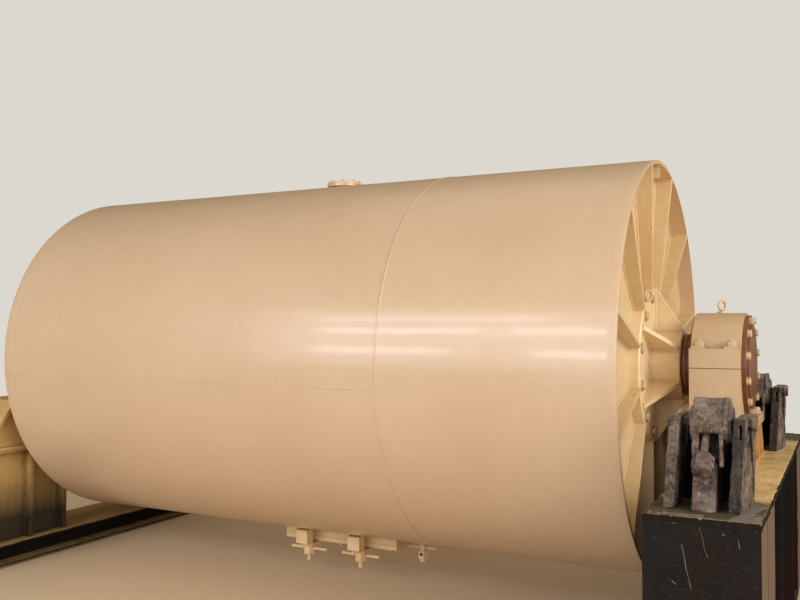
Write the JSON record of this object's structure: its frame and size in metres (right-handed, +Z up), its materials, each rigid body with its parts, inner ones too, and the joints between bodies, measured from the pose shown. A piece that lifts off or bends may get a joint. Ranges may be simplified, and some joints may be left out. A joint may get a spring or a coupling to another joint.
{
  "type": "batch ball mill",
  "caption": "Long welded mill drum with ribbed, recessed ends and flanged trunnions in split bearing housings, a clamped bottom hatch and a blind top port, on two steel stands.",
  "frame": {"origin": "on the ground below the middle of the drum's axis", "axes": "+X along the drum's axis towards the short shell course, +Z up"},
  "size_m": [5.11, 2.86, 2.527],
  "materials": {
    "cream_paint": "gloss enamel over welded plate",
    "stained_paint": "cream enamel, dirty towards the floor",
    "oiled_steel": "oiled and rusty brown",
    "bearing_steel": "ground",
    "dark_steel": "old dark paint, grimy, rust at the edges",
    "greasy_steel": "greasy grey brown with rust"
  },
  "bodies": {
    "stand": {"bearing_base_left": "cream_paint", "bearing_base_right": "cream_paint", "bearing_cap_left": "cream_paint", "bearing_cap_right": "cream_paint", "roller_bearing_left": "bearing_steel", "roller_bearing_right": "bearing_steel", "inner_cover_left": "cream_paint", "inner_cover_right": "cream_paint", "outer_cover_left": "cream_paint", "outer_cover_right": "cream_paint", "cap_bolts_left": "cream_paint", "cap_bolts_right": "cream_paint", "lifting_eye_left": "cream_paint", "lifting_eye_right": "cream_paint", "saddle_frame": "stained_paint", "saddle_webs": "stained_paint", "columns": "stained_paint", "base_beam": "dark_steel", "pedestal": "cream_paint", "stand_top": "dark_steel", "stand_box": "dark_steel", "bracket_uprights": "greasy_steel", "bracket_posts": "greasy_steel", "bracket_hoods": "greasy_steel", "bracket_pins": "greasy_steel", "swing_bolts": "greasy_steel"},
    "drum": {"shell_long_course": "cream_paint", "shell_short_course": "cream_paint", "end_plate_left": "cream_paint", "end_plate_right": "cream_paint", "end_ribs_left": "cream_paint", "end_ribs_right": "cream_paint", "trunnion_left": "cream_paint", "trunnion_right": "cream_paint", "hub_bolts_left": "cream_paint", "hub_bolts_right": "cream_paint", "seal_collar_left": "oiled_steel", "seal_collar_right": "oiled_steel", "port_neck": "cream_paint", "port_cover": "cream_paint", "hatch_frame": "cream_paint", "hatch_cover": "cream_paint", "hatch_clamps": "cream_paint", "hatch_screws": "cream_paint", "drain_plug": "cream_paint"}
  },
  "joints": [
    {"name": "drum_spin", "type": "hinge", "parent": "stand", "child": "drum", "pos_m": [0, 0, 1.39], "axis": [1, 0, 0], "continuous": true}
  ]
}
